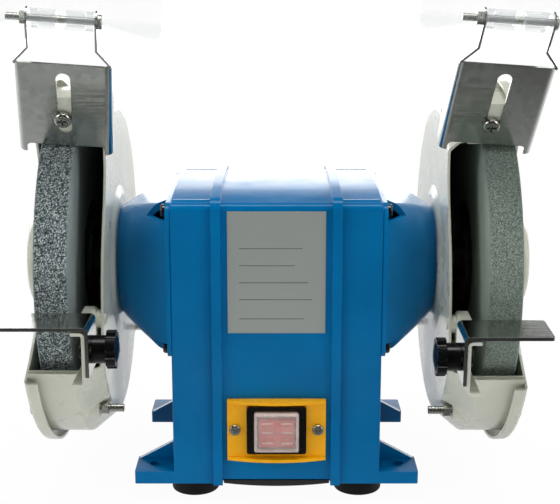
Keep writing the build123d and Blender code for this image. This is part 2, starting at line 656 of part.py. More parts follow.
def cover_window():
    """Region left open at the front of the outer cover."""
    top = deflector_point(0, COVER_WINDOW_TOP)
    edge = Spline(*COVER_WINDOW, top)
    rest = Polyline(top, deflector_point(far, COVER_WINDOW_TOP), (-2 * far, far),
                    (-2 * far, COVER_WINDOW[0][1]), COVER_WINDOW[0])
    return make_face(edge + rest)


def cover_screw_spots():
    return [on_circle(COVER_SCREW_R, degrees) for degrees in COVER_SCREW_DEG]


def guard_profile(inset):
    """Half section of the guard's outside, shrunk by inset: dish, flat wall, bevel and band."""
    wall, edge, run = GUARD_WALL_X, GUARD_EDGE_X, GUARD_BEVEL
    corner = inset * BEVEL_SHARE
    points = [(BELL_END_X + inset, -inset), (BELL_END_X + inset, GUARD_HUB_R - corner),
              (wall + inset, GUARD_DISH_R - corner), (wall + inset, GUARD_R - run[1] - corner),
              (wall + run[0] + corner, GUARD_R - inset), (edge + inset, GUARD_R - inset),
              (edge + inset, -inset)]
    face = make_face(Polyline(*points, close=True))
    bends = face.vertices().filter_by(lambda v: wall - 1 < v.X < edge - 10 and v.Y > GUARD_DISH_R + 5)
    return fillet(bends, GUARD_BEND_R - inset / 2)


def guard_inner():
    """Dished inner wall, band round the wheel, front lip strip and deflector tab."""
    wall, edge = GUARD_WALL_X, GUARD_EDGE_X
    outside = revolve(guard_profile(0), Axis.X)
    body = revolve(guard_profile(0) - guard_profile(SHEET), Axis.X)
    for y, z in cover_screw_spots():
        body += rod(wall, SCREW_SEAT_X + SHEET, SCREW_SEAT_R + SHEET, y, z) & outside
        body += rod(SCREW_SEAT_X, wall + GUARD_BEVEL[0], SCREW_SEAT_R, y, z)
        body -= rod(wall - 1, SCREW_SEAT_X, SCREW_SEAT_R, y, z)
    for y, z in RIVET_AT:
        body += rod(wall, BRACKET_X, PAD_R, y, z)
    body -= side_cut(guard_window(), wall - 10, edge + 10)
    strip_z = [LIP_Z + offset for offset in LIP_STRIP]
    strip_y = -(GUARD_R ** 2 - strip_z[0] ** 2) ** 0.5
    body += block((TAB_X[0], edge), (strip_y, strip_y + SHEET), strip_z) & outside
    tab = Polyline(deflector_point(TAB_START, TAB_BEHIND), deflector_point(CLAMP_UP + TAB_END, TAB_BEHIND),
                   deflector_point(CLAMP_UP + TAB_END, TAB_BEHIND + SHEET),
                   deflector_point(TAB_START, TAB_BEHIND + SHEET), close=True)
    body += side_cut(make_face(tab), *TAB_X)
    body -= clamp_frame_neutral() * Rot(90, 0, 0) * Cylinder(M5_HOLE_R, 20 * SHEET)
    body -= rod(BELL_END_X - 1, BELL_END_X + 2 * SHEET, GUARD_BORE_R)
    for y, z in cover_screw_spots():
        body -= rod(wall - 1, edge, M5_HOLE_R, y, z)
    for y, z in guard_screw_spots():
        body -= rod(BELL_END_X - 1, BELL_END_X + 2 * SHEET, M5_HOLE_R, y, z)
    for y, z in RIVET_AT:
        body -= rod(wall - 1, BRACKET_X + 1, RIVET_R, y, z)
    return body


def guard_cover(boss_x):
    """Pressed outer cover: flat face, rim over the band, raised middle over the spindle nut."""
    face = GUARD_EDGE_X
    rim = COVER_RIM_IN + SHEET
    outside = make_face(Polyline((face - COVER_RIM_W + SHEET, 0), (face - COVER_RIM_W + SHEET, rim),
                                 (face + SHEET, rim), (face + SHEET, COVER_BOSS_R),
                                 (boss_x, COVER_BOSS_R), (boss_x, 0), close=True))
    inside = make_face(Polyline((face - COVER_RIM_W, -1), (face - COVER_RIM_W, COVER_RIM_IN),
                                (face, COVER_RIM_IN), (face, COVER_BOSS_R - SHEET),
                                (boss_x - SHEET, COVER_BOSS_R - SHEET), (boss_x - SHEET, -1),
                                close=True))
    outside = fillet(outside.vertices().filter_by(lambda v: v.X > face and v.Y > rim - 1), COVER_RIM_ROUND)
    boss_round, boss_round_in = COVER_BOSS_ROUND
    outside = fillet(outside.vertices().filter_by(lambda v: v.X > boss_x - 1 and v.Y > 1), boss_round)
    inside = fillet(inside.vertices().filter_by(lambda v: v.X > boss_x - 3 and v.Y > 1), boss_round_in)
    body = revolve(outside - inside, Axis.X)
    body -= side_cut(cover_window(), face - 20, face + 30)
    for y, z in cover_screw_spots():
        body -= rod(face - 1, face + 2 * SHEET, M5_HOLE_R, y, z)
    return body


def clamp_frame_neutral():
    """Frame at a guard's clamp screw: Y straight back through the sheet, Z up along it."""
    y, z = deflector_point(CLAMP_UP, 0)
    return Pos(CLAMP_X, y, z) * Rot(DEFLECTOR_LEAN, 0, 0)


def rest_bracket():
    """Channel on the wheel side of the guard's wall that the tool rest clamps to."""
    x0 = BRACKET_X
    outer = make_face(Polyline((x0, BRACKET_Z[0]), (x0 + BRACKET_LIP, BRACKET_Z[0]),
                               (x0 + BRACKET_LIP, BRACKET_Z[1]), (x0, BRACKET_Z[1]), close=True))
    outer = fillet(outer.vertices().filter_by(lambda v: v.X < x0 + 1), REST_BEND[0])
    inner = make_face(Polyline((x0 + REST_T, BRACKET_Z[0] + REST_T), (x0 + 20, BRACKET_Z[0] + REST_T),
                               (x0 + 20, BRACKET_Z[1] - REST_T), (x0 + REST_T, BRACKET_Z[1] - REST_T),
                               close=True))
    inner = fillet(inner.vertices().filter_by(lambda v: v.X < x0 + REST_T + 1), REST_BEND[1])
    channel = Pos(0, BRACKET_Y[1], 0) * extrude(Plane.XZ * (outer - inner), BRACKET_Y[1] - BRACKET_Y[0])
    channel -= rod(x0 - 5, x0 + 5, STUD_R + CLEAR, *KNOB_AT)
    for y, z in RIVET_AT:
        channel -= rod(x0 - 5, x0 + 5, RIVET_R, y, z)
    return channel


def rivet():
    """Rivet through the guard's wall, its pad and the bracket, along X."""
    x0 = GUARD_WALL_X
    x1 = BRACKET_X + REST_T
    head_r, head_h = RIVET_HEAD
    return rod(x0, x1, RIVET_R) + rod(x0 - head_h, x0, head_r) + rod(x1, x1 + head_h, head_r)


COVER_FACE = GUARD_EDGE_X + SHEET
for side, sign in SIDES.items():
    save(side + "_guard_inner", on_guard(side, guard_inner()))
    save(side + "_guard_cover", on_guard(side, guard_cover(COVER_BOSS_X[side])))
    save(side + "_rest_bracket", on_guard(side, rest_bracket()))

cover_screw = screw(*COVER_SCREW, COVER_FACE - SCREW_TIP_X)
washer_r, washer_t = SPRING_WASHER
spring_washer = Pos(0, 0, washer_t / 2) * (Cylinder(washer_r, washer_t) - Cylinder(M5_HOLE_R, 3 * washer_t))
cover_nut = Pos(0, 0, washer_t) * nut(*COVER_NUT, M5_R + FIT)
groups = {"cover_screws": [], "cover_nuts": [], "cover_spring_washers": [], "guard_mount_screws": [],
          "bracket_rivets": [], "bracket_nuts": []}
for side in SIDES:
    for y, z in cover_screw_spots():
        groups["cover_screws"].append(on_guard(side, facing_x(cover_screw, COVER_FACE, y, z)))
        for name, piece in (("cover_nuts", cover_nut), ("cover_spring_washers", spring_washer)):
            groups[name].append(on_guard(side, facing_x(piece, SCREW_SEAT_X, y, z, -1)))
    for y, z in guard_screw_spots():
        fixing = facing_x(screw(*GUARD_SCREW), BELL_END_X + SHEET, y, z)
        groups["guard_mount_screws"].append(on_guard(side, fixing))
    for y, z in RIVET_AT:
        groups["bracket_rivets"].append(on_guard(side, Pos(0, y, z) * rivet()))
    weld_nut = facing_x(nut(*BRACKET_NUT, STUD_R + FIT), BRACKET_X + REST_T, *KNOB_AT)
    groups["bracket_nuts"].append(on_guard(side, weld_nut))
for name, pieces in groups.items():
    save(name, pieces)


# ---------------------------------------------------------------- tool rests and clamp knobs
def tool_rest():
    """Bent angle: plate in front of the wheel, flange down on the motor side with its slot."""
    x0, x1 = REST_X
    top = REST_TOP
    outer = make_face(Polyline((x0, top - REST_DROP), (x0, top), (x1, top), (x1, top - REST_T),
                               (x0 + REST_T, top - REST_T), (x0 + REST_T, top - REST_DROP), close=True))
    outer = fillet(outer.vertices().filter_by(lambda v: v.X < x0 + 0.1 and v.Y > top - 1), REST_BEND[0])
    hollow = outer.vertices().filter_by(lambda v: abs(v.X - x0 - REST_T) < 0.1 and v.Y > top - 3)
    outer = fillet(hollow, REST_BEND[1])
    rest = Pos(0, REST_Y[1], 0) * extrude(Plane.XZ * outer, REST_Y[1] - REST_Y[0])
    ends = rest.edges().filter_by(Axis.Z).filter_by(lambda e: e.center().X > x1 - 0.1)
    rest = fillet(ends, REST_ROUND)
    length = KNOB_SLOT_Y[1] - KNOB_SLOT_Y[0]
    slot = Pos(sum(KNOB_SLOT_Y) / 2, KNOB_AT[1]) * SlotOverall(length, REST_SLOT_W)
    return rest - side_cut(slot, x0 - 1, x0 + REST_T + 1)


def knob():
    """Six-lobed clamp knob with a round shank and a domed end, along X at its own axis."""
    shank = rod(KNOB_X[1] - 1, REST_X[0] - CLEAR, KNOB_SHANK_R)
    face = KNOB_X[0] + KNOB_CHAMFER
    head = rod(face, KNOB_X[1], KNOB_R)
    scallop = rod(KNOB_X[0], KNOB_X[1] + 1, KNOB_SCALLOP[0])
    for item in polar_x(scallop, KNOB_LOBES, KNOB_R + KNOB_SCALLOP[1]):
        head -= item
    dome = Pos(KNOB_X[0] + KNOB_DOME_R, 0, 0) * Sphere(KNOB_DOME_R)
    dome &= rod(KNOB_X[0] - 1, face + CLEAR, KNOB_R - KNOB_DOME_IN)
    return shank + head + dome - rod(KNOB_X[1] - STUD_GRIP, REST_X[0] + 1, STUD_R)


for side in SIDES:
    save(side + "_tool_rest", on_guard(side, tool_rest()))
    save(side + "_knob", on_guard(side, Pos(0, *KNOB_AT) * knob()))
    save(side + "_knob_stud", on_guard(side, rod(KNOB_X[1] - STUD_GRIP, KNOB_STUD_END, STUD_R, *KNOB_AT)))


# ---------------------------------------------------------------- spark deflectors and eye shields
def clamp_frame(side):
    """Frame at the clamp screw on either side, in the row frame."""
    y, z = deflector_point(CLAMP_UP, 0)
    lean = Rot(GUARD_TURN[side], 0, 0) * Pos(SIDES[side] * CLAMP_X, y, z) * Rot(DEFLECTOR_LEAN, 0, 0)
    return on_axis(lean)


def deflector_frame(side):
    """The deflector's own frame: on its centre line, level with the clamp screw, rolled."""
    return clamp_frame(side) * Pos(SLOT_OFFSET[side], 0, 0) * Rot(0, DEFLECTOR_ROLL, 0)


def spark_deflector(lift):
    """Bent sheet: slotted plate, side flanges with legs, jogged ears for the shield bolt."""
    half, sheet = DEFLECTOR_HALF_W, DEFLECTOR_T
    foot = lift - CLAMP_UP
    top = foot + DEFLECTOR_H
    pivot = PIVOT_UP + lift
    outer = make_face(Polyline((-half, 0), (half, 0), (half, DEFLECTOR_FLANGE),
                               (-half, DEFLECTOR_FLANGE), close=True))
    outer = fillet(outer.vertices().filter_by(lambda v: v.Y < 0.1), DEFLECTOR_BEND[0])
    inside, behind = half - sheet, 2 * DEFLECTOR_FLANGE
    hollow = make_face(Polyline((-inside, sheet), (inside, sheet), (inside, behind), (-inside, behind),
                                close=True))
    hollow = fillet(hollow.vertices().filter_by(lambda v: v.Y < sheet + 0.1), DEFLECTOR_BEND[1])
    body = Pos(0, 0, foot - LEG_H) * extrude(outer - hollow, DEFLECTOR_H + LEG_H)
    gap = half - LEG_W
    notch = make_face(Polyline((-gap, foot - LEG_H - 5), (-gap, foot), (gap, foot),
                               (gap, foot - LEG_H - 5), close=True))
    notch = fillet(notch.vertices().filter_by(lambda v: v.Y > foot - 0.1), NOTCH_ROUND)
    body -= Pos(0, 10, 0) * extrude(Plane.XZ * notch, 20)
    slot_len = DEFLECTOR_SLOT[1] - DEFLECTOR_SLOT[0]
    slot = Pos(0, foot + sum(DEFLECTOR_SLOT) / 2) * Rot(0, 0, 90) * SlotOverall(slot_len, SLOT_W)
    body -= Pos(0, 10, 0) * extrude(Plane.XZ * slot, 20)
    jog, end = top + JOG_START, pivot + EAR_ROUND_OVER
    ear_path = Polyline((half, top - 1), (half, jog), (EAR_OUT, jog + JOG_H), (EAR_OUT, end),
                        (EAR_OUT - sheet, end), (EAR_OUT - sheet, top + JOG_H),
                        (half - sheet, top), (half - sheet, top - 1), close=True)
    strip = Pos(0, DEFLECTOR_FLANGE, 0) * extrude(Plane.XZ * make_face(ear_path), DEFLECTOR_FLANGE)
    outline = block((-half, half), (0, DEFLECTOR_FLANGE), (top - 2, pivot))
    outline += rod(-half, half, DEFLECTOR_FLANGE / 2, PIVOT_BACK, pivot)
    strip = strip & outline
    for item in both(strip):
        body += item
    return body - rod(-half, half, M4_R + CLEAR, PIVOT_BACK, pivot)


def shield_bolt():
    """Long screw through both ears, head at +X, with its nut at -X."""
    bolt = facing_x(screw(*SHIELD_BOLT), EAR_OUT, 0, 0)
    return [bolt, facing_x(nut(*SHIELD_NUT, M4_R + FIT), -EAR_OUT, 0, 0, -1)]


def eye_shield():
    """Clear plate on two knuckles, drawn about the bolt axis along X."""
    w, top, x = SHIELD_HALF_W, SHIELD_TOP, SHIELD_FOOT_X
    low, high = SHIELD_FOOT
    outline = make_face(Polyline((-w, low), (-x, high), (x, high), (w, low), (w, top), (-w, top),
                                 close=True))
    outline = fillet(outline.vertices(), SHIELD_ROUND)
    plate = Pos(0, -SHIELD_GAP, 0) * extrude(Plane.XZ * outline, SHIELD_T)
    inner, outer = KNUCKLE_IN, EAR_OUT - DEFLECTOR_T - KNUCKLE_CLEAR
    collar_w, collar_r = KNUCKLE_COLLAR
    hinge = rod(inner, outer, KNUCKLE_R) + rod(outer - collar_w, outer, collar_r)
    hinge += block((inner, outer), (-SHIELD_GAP - SHIELD_T / 2, -KNUCKLE_R / 2), KNUCKLE_WEB)
    hinge -= rod(inner - 1, outer + 1, M4_R + FIT)
    for item in both(hinge):
        plate += item
    return plate


deflector_screws, deflector_nuts = [], []
for side, sign in SIDES.items():
    lift = DEFLECTOR_LIFT[side]
    frame = deflector_frame(side)
    save(side + "_spark_deflector", frame * spark_deflector(lift))
    hinge_frame = frame * Pos(0, PIVOT_BACK, PIVOT_UP + lift)
    save(side + "_shield_bolt", [hinge_frame * item for item in shield_bolt()])
    save(side + "_eye_shield", hinge_frame * Rot(-SHIELD_BACK_TILT, 0, 0) * eye_shield())
    clamp_at = clamp_frame(side)
    deflector_screws.append(clamp_at * Pos(0, -CLEAR, 0) * Rot(90, 0, 0) * screw(*DEFLECTOR_SCREW))
    clamp_nut = Rot(-90, 0, 0) * nut(*COVER_NUT, M5_R + FIT)
    deflector_nuts.append(clamp_at * Pos(0, TAB_BEHIND + SHEET, 0) * clamp_nut)
save("deflector_screws", deflector_screws)
save("deflector_nuts", deflector_nuts)


# ---------------------------------------------------------------- switch, plates and cord inlet
bezel_y = FRONT - SWITCH_PLATE_T


def panel(size, y0, y1, z):
    """Plate on the front panel, between two depths."""
    return block((-size[0] / 2, size[0] / 2), (y0, y1), (z - size[1] / 2, z + size[1] / 2))


def switch_plate():
    """Moulded plate with a bowed ledge above and below the switch."""
    w, h = SWITCH_PLATE
    plate = panel(SWITCH_PLATE, bezel_y, FRONT, SWITCH_PLATE_Z)
    end_y, mid_y = [bezel_y - out for out in LEDGE_OUT]
    bow = make_face(Polyline((w / 2, end_y), (w / 2, FRONT), (-w / 2, FRONT), (-w / 2, end_y))
                    + ThreePointArc((-w / 2, end_y), (0, mid_y), (w / 2, end_y)))
    z0 = SWITCH_PLATE_Z - h / 2
    for z in (z0, z0 + h - LEDGE_T):
        plate += Pos(0, 0, z) * extrude(bow, LEDGE_T)
    plate -= panel(BODY_HOLE, bezel_y - 1, FRONT + 1, SWITCH_Z)
    screw_hole = Rot(90, 0, 0) * Cylinder(SWITCH_SCREW[2] + CLEAR, 4 * SWITCH_PLATE_T)
    for x in (-SWITCH_SCREW_X, SWITCH_SCREW_X):
        plate -= Pos(x, FRONT, SWITCH_Z) * screw_hole
    return plate


def switch_body():
    """Switch case: bezel in front, box through the panel, hollow for the rocker."""
    hole = [size - 2 * BODY_PLAY for size in BODY_HOLE]
    case = panel(BEZEL, bezel_y - BEZEL_T, bezel_y, SWITCH_Z)
    case += panel(hole, bezel_y - 1, BODY_BACK_Y, SWITCH_Z)
    case = fillet(case.edges().filter_by(Axis.Y).filter_by(lambda e: e.center().Y < bezel_y), BEZEL_ROUND)
    rocker_bay = [2 * (half + play) for half, play in zip(ROCKER_HALF, ROCKER_PLAY)]
    case -= panel(rocker_bay, bezel_y - 10, PIVOT_Y + ROCKER_BAY, SWITCH_Z)
    case -= rod(-ROCKER_PIN_HOLE[0], *ROCKER_PIN_HOLE, PIVOT_Y, SWITCH_Z)
    width, length, thickness = TERMINAL
    for x in (-TERMINAL_X, TERMINAL_X):
        case += block((x - width / 2, x + width / 2), (BODY_BACK_Y - 1, BODY_BACK_Y + length),
                      (SWITCH_Z - thickness / 2, SWITCH_Z + thickness / 2))
    return case


def switch_rocker():
    """Rocker with its two face halves at a shallow angle, tipped to one side."""
    half_x, half_z = ROCKER_HALF
    rim, corner, middle = ROCKER_SIDE
    low = half_z - ROCKER_NARROW
    front = Polyline((rim, low), (0, half_z), (-corner, half_z), (-rim, 0),
                     (-corner, -half_z), (0, -half_z), (rim, -low))
    face = make_face(front + ThreePointArc((rim, -low), (middle, 0), (rim, low)))
    pin = half_x + ROCKER_PIN_OUT
    body = side_cut(face, -half_x, half_x) + rod(-pin, pin, ROCKER_PIN_R)
    return Pos(0, PIVOT_Y, SWITCH_Z) * Rot(ROCKER_REST, 0, 0) * body


def dust_cover():
    """Clear soft cover over the rocker."""
    y1 = bezel_y - BEZEL_T
    shell = panel(DUST_COVER, y1 - DUST_COVER_H, y1, SWITCH_Z)
    shell = fillet(shell.edges().filter_by(lambda e: e.center().Y < y1 - 0.1), DUST_COVER_ROUND)
    side_wall, face_wall = DUST_COVER_WALL
    hollow = [size - 2 * side_wall for size in DUST_COVER]
    return shell - panel(hollow, y1 - DUST_COVER_H + face_wall, y1 + 1, SWITCH_Z)


def cord_gland():
    """Tapered cable gland on the back wall, with its flange and bore."""
    body = Pos(0, 0, GLAND_STEM[2] / 2) * Cone(*GLAND_STEM)
    body += Pos(0, 0, GLAND_FLANGE[1] / 2) * Cylinder(*GLAND_FLANGE)
    body += Pos(0, 0, -GLAND_PLUG[1] / 2) * Cylinder(*GLAND_PLUG)
    groove_r, groove_w = GLAND_GROOVE
    for z in GLAND_GROOVES:
        body -= Pos(0, 0, z) * (Cylinder(GLAND_FLANGE[0], groove_w) - Cylinder(groove_r, 2 * groove_w))
    body -= Cylinder(GLAND_BORE_R, 3 * GLAND_STEM[2])
    return Pos(0, -FRONT, GLAND_Z) * Rot(-90, 0, 0) * body


save("switch_plate", switch_plate())
save("switch_body", switch_body())
save("switch_rocker", switch_rocker())
save("switch_dust_cover", dust_cover())
save("switch_screws", [Pos(x, bezel_y, SWITCH_Z) * Rot(90, 0, 0) * screw(*SWITCH_SCREW)
                       for x in (-SWITCH_SCREW_X, SWITCH_SCREW_X)])
save("nameplate", panel(NAMEPLATE, FRONT - NAMEPLATE_T, FRONT, NAMEPLATE_Z))
save("cord_gland", cord_gland())


# ---------------------------------------------------------------- write one file per node
os.makedirs("parts", exist_ok=True)
for name, pieces in nodes.items():
    solids = [solid for piece in pieces for solid in piece.solids()]
    export_step(Compound(children=solids) if len(solids) > 1 else solids[0], "parts/" + name + ".step")
print(len(nodes), "nodes")
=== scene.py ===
"""Looks for the bench grinder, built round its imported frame. Metres, +Z up, the front at -Y."""

import json
from math import cos, pi, radians, sin

import bmesh
import bpy
from mathutils import Matrix, Vector


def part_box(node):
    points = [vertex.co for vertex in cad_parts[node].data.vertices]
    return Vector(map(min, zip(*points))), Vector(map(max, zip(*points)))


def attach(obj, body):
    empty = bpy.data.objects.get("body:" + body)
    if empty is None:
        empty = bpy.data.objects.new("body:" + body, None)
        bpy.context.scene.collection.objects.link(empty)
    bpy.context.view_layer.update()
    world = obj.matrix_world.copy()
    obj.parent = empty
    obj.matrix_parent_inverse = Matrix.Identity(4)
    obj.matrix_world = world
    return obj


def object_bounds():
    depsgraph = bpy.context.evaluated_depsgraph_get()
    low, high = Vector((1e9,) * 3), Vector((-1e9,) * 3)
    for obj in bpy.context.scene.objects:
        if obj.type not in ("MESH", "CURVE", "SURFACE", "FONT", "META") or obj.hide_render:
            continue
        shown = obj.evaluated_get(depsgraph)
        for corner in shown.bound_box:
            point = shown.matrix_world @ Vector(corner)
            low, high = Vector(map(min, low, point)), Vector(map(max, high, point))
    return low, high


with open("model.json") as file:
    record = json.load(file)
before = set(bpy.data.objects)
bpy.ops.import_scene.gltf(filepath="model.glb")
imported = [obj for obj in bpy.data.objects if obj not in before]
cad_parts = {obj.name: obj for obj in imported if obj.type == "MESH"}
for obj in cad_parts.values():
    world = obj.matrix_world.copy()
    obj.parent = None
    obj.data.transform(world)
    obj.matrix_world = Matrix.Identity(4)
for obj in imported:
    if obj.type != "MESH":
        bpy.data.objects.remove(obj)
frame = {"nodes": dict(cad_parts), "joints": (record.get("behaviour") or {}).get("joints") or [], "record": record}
cad_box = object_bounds()
nodes = frame["nodes"]
joints = {j["name"]: j for j in frame["joints"]}

# ---- Driving dimensions ----
AXIS_H = joints["spindle_spin"]["pos_m"][2]
FLOOR_Z = cad_box[0].z
EDGE = 0.0006             # how round a sharp edge looks

# The camera: 800 mm from the spindle's middle, tipped down
CAMERA_AWAY = 0.800
CAMERA_UP = 0.004
CAMERA_TIP = radians(13)
CAMERA_LENS = 78.75       # mm, as is the sensor's width
CAMERA_SENSOR = 36
CAMERA_SHIFT_X = 0.00625


def srgb(red, green, blue):
    """A colour given as 0 to 255 display values, as the linear colour that a shader takes."""
    def linear(value):
        value /= 255
        return value / 12.92 if value <= 0.04045 else ((value + 0.055) / 1.055) ** 2.4
    return (linear(red), linear(green), linear(blue), 1.0)


def put(tree, target, value):
    """Gives a node's input a link or a plain value."""
    if isinstance(value, bpy.types.NodeSocket):
        tree.links.new(value, target)
    else:
        target.default_value = value


def map_range(tree, value, low, high, to_low=0.0, to_high=1.0):
    """A value stretched from low..high to to_low..to_high."""
    node = tree.nodes.new("ShaderNodeMapRange")
    for socket, given in enumerate((value, low, high, to_low, to_high)):
        put(tree, node.inputs[socket], given)
    return node.outputs["Result"]


# ---- Materials ----
class Finish:
    """A material's node tree, with the few kinds of node that the finishes below are made from.

    Textures lie in the object's own metres, so a scale of 1000 gives features of about 1 mm.
    """

    def __init__(self, name, base, roughness, metallic=0.0, **sockets):
        self.material = bpy.data.materials.new(name)
        self.material.use_nodes = True
        self.tree = self.material.node_tree
        self.shader = self.tree.nodes["Principled BSDF"]
        self.place = self.add("ShaderNodeTexCoord").outputs["Object"]
        self.set("Base Color", base)
        self.set("Roughness", roughness)
        self.set("Metallic", metallic)
        for socket, value in sockets.items():
            self.set(socket.replace("_", " "), value)

    def add(self, kind, **settings):
        node = self.tree.nodes.new(kind)
        for name, value in settings.items():
            setattr(node, name, value)
        return node

    def set(self, socket, value):
        self.shader.inputs[socket].default_value = value

    def feed(self, value, socket):
        self.tree.links.new(value, self.shader.inputs[socket])

    def put(self, node, socket, value):
        put(self.tree, node.inputs[socket], value)

    def stretched(self, scale):
        node = self.add("ShaderNodeMapping")
        self.put(node, "Vector", self.place)
        self.put(node, "Scale", scale)
        return node.outputs["Vector"]

    def noise(self, scale, detail=3.0, roughness=0.5, stretch=None):
        node = self.add("ShaderNodeTexNoise")
        self.put(node, "Vector", self.stretched(stretch) if stretch else self.place)
        self.put(node, "Scale", scale)
        self.put(node, "Detail", detail)
        self.put(node, "Roughness", roughness)
        return node.outputs["Fac"]

    def cells(self, scale, output):
        node = self.add("ShaderNodeTexVoronoi")
        self.put(node, "Vector", self.place)
        self.put(node, "Scale", scale)
        return node.outputs[output]

    def level(self, *value_and_range):
        return map_range(self.tree, *value_and_range)

    def mix(self, share, first, second):
        """A colour between two, by a share from 0 to 1."""
        node = self.add("ShaderNodeMix", data_type="RGBA")
        self.put(node, 0, share)
        self.put(node, 6, first)
        self.put(node, 7, second)
        return node.outputs[2]

    def math(self, operation, first, second):
        node = self.add("ShaderNodeMath", operation=operation)
        self.put(node, 0, first)
        self.put(node, 1, second)
        return node.outputs["Value"]

    def ramp(self, value, stops):
        """A colour read from a list of (place, colour) stops."""
        node = self.add("ShaderNodeValToRGB")
        elements = node.color_ramp.elements
        while len(elements) < len(stops):
            elements.new(0.5)
        for element, (place, colour) in zip(elements, stops):
            element.position = place
            element.color = colour
        self.put(node, "Fac", value)
        return node.outputs["Color"]

    def parts(self):
        """X, Y and Z of the place on the object."""
        node = self.add("ShaderNodeSeparateXYZ")
        self.put(node, "Vector", self.place)
        return node.outputs

    def distance(self, value, middle, reach):
        """How far a value is from a middle, where 1 is the given reach."""
        away = self.math("ABSOLUTE", self.math("SUBTRACT", value, middle), 0)
        return self.math("DIVIDE", away, reach)

    def off_axis(self, point, axis):
        """Distance from a line in space."""
        away = self.add("ShaderNodeVectorMath", operation="SUBTRACT")
        self.put(away, 0, self.place)
        self.put(away, 1, point)
        across = self.add("ShaderNodeVectorMath", operation="CROSS_PRODUCT")
        self.put(across, 0, away.outputs[0])
        self.put(across, 1, axis)
        length = self.add("ShaderNodeVectorMath", operation="LENGTH")
        self.put(length, 0, across.outputs[0])
        return length.outputs["Value"]

    def facing_x(self):
        """1 on faces that look along the spindle and 0 on the rest."""
        node = self.add("ShaderNodeSeparateXYZ")
        self.put(node, "Vector", self.add("ShaderNodeNewGeometry").outputs["True Normal"])
        return self.level(self.math("ABSOLUTE", node.outputs["X"], 0), 0.4, 0.9)

    def rounded(self, radius=EDGE):
        """Normals that round off a sharp edge by a radius."""
        node = self.add("ShaderNodeBevel", samples=4)
        self.put(node, "Radius", radius)
        return node.outputs["Normal"]

    def edges(self, radius=EDGE):
        """1 on sharp edges and 0 elsewhere."""
        across = self.add("ShaderNodeVectorMath", operation="DOT_PRODUCT")
        self.put(across, 0, self.rounded(radius))
        self.put(across, 1, self.add("ShaderNodeNewGeometry").outputs["Normal"])
        return self.level(across.outputs["Value"], 0.995, 0.90)

    def bump(self, *heights, radius=EDGE):
        """Bumps laid over each other on rounded edges. Each is (height, depth in metres)."""
        normal = self.rounded(radius)
        for height, depth in heights:
            node = self.add("ShaderNodeBump")
            self.put(node, "Height", height)
            self.put(node, "Distance", depth)
            self.put(node, "Normal", normal)
            normal = node.outputs["Normal"]
        self.feed(normal, "Normal")


STAIN_AND_GROOVE_SHADE = 0.6               # how bright plating is where it is stained, and in the painted shade of thread grooves
CUT_EDGE = 0.35           # how bright the cut edge of plated sheet is


def shaded(colour, factor, lift=0.0):
    """A colour made darker or lighter by a factor, and lifted a little."""
    return tuple(min(1, factor * c + lift) for c in colour[:3]) + (1,)


def enamel(name, colour, shade, edge, roughness=0.2, grain=0.00003, gloss=0.5, coat=0.5):
    """Gloss paint over a casting or pressing: faint clouding, orange peel, and a painted highlight in a lighter
    colour along sharp edges.
    """
    finish = Finish(name, colour, roughness, Coat_Weight=coat, Coat_Roughness=0.04,
                    Specular_IOR_Level=gloss)
    clouded = finish.mix(finish.level(finish.noise(18), 0.35, 0.65), colour, shade)
    # Painted highlight: the lighter edge colour is laid along sharp edges and broken up by noise
    edge_highlight = finish.math("MULTIPLY", finish.edges(), finish.level(finish.noise(160), 0.45, 0.7))
    finish.feed(finish.mix(edge_highlight, clouded, edge), "Base Color")
    smears = finish.level(finish.noise(45, 4, 0.6), 0.3, 0.75, roughness - 0.04, roughness + 0.1)
    finish.feed(smears, "Roughness")
    finish.bump((finish.noise(420, 2), grain), (finish.noise(2600, 2), grain / 4))
    return finish.material


def sheet_steel(name, colour, roughness):
    """Zinc-plated sheet: faint crystals, rolling lines, smears and small scratches."""
    finish = Finish(name, colour, roughness, metallic=1.0)
    crystals = finish.cells(260, "Color")
    toned = finish.mix(finish.level(crystals, 0.2, 0.9), shaded(colour, 0.86), shaded(colour, 1.1))
    clouds = finish.level(finish.noise(60, 4, 0.6), 0.35, 0.7)
    worn = finish.mix(clouds, colour, toned)
    edges = finish.math("MULTIPLY", finish.edges(0.0005), 0.8)
    finish.feed(finish.mix(edges, worn, shaded(colour, CUT_EDGE)), "Base Color")
    lines = finish.noise(900, 3, 0.6, stretch=(0.03, 1, 1))
    finish.feed(finish.level(lines, 0.3, 0.7, roughness - 0.04, roughness + 0.08), "Roughness")
    finish.bump((lines, 0.000001), (finish.noise(300, 2), 0.000004), radius=0.0004)
    return finish.material


def plated(name, colour, roughness):
    """Turned or pressed metal parts with a thin plated or cast skin."""
    finish = Finish(name, colour, roughness, metallic=1.0)
    stain = shaded(colour, STAIN_AND_GROOVE_SHADE)
    finish.feed(finish.mix(finish.level(finish.noise(500, 4, 0.65), 0.45, 0.8), colour, stain), "Base Color")
    finish.feed(finish.level(finish.noise(900), 0.3, 0.7, roughness - 0.1, roughness + 0.15), "Roughness")
    finish.bump((finish.noise(2500, 2), 0.000008), radius=0.0003)
    return finish.material


def threaded(name, colour, pitch, direction):
    """Plated screws whose thread is a fine wave along one axis, with painted shade darkening its grooves."""
    finish = Finish(name, colour, 0.22, metallic=1.0)
    wave = finish.add("ShaderNodeTexWave", wave_type="BANDS", bands_direction=direction)
    finish.put(wave, "Vector", finish.place)
    finish.put(wave, "Scale", pi / (10 * pitch))
    # Painted shade: the grooves take the darker colour and the ridges the plain one
    finish.feed(finish.mix(wave.outputs["Fac"], shaded(colour, STAIN_AND_GROOVE_SHADE), colour), "Base Color")
    finish.feed(finish.level(finish.noise(900), 0.3, 0.7, 0.2, 0.4), "Roughness")
    finish.bump((wave.outputs["Fac"], pitch / 12), radius=0.0003)
    return finish.material


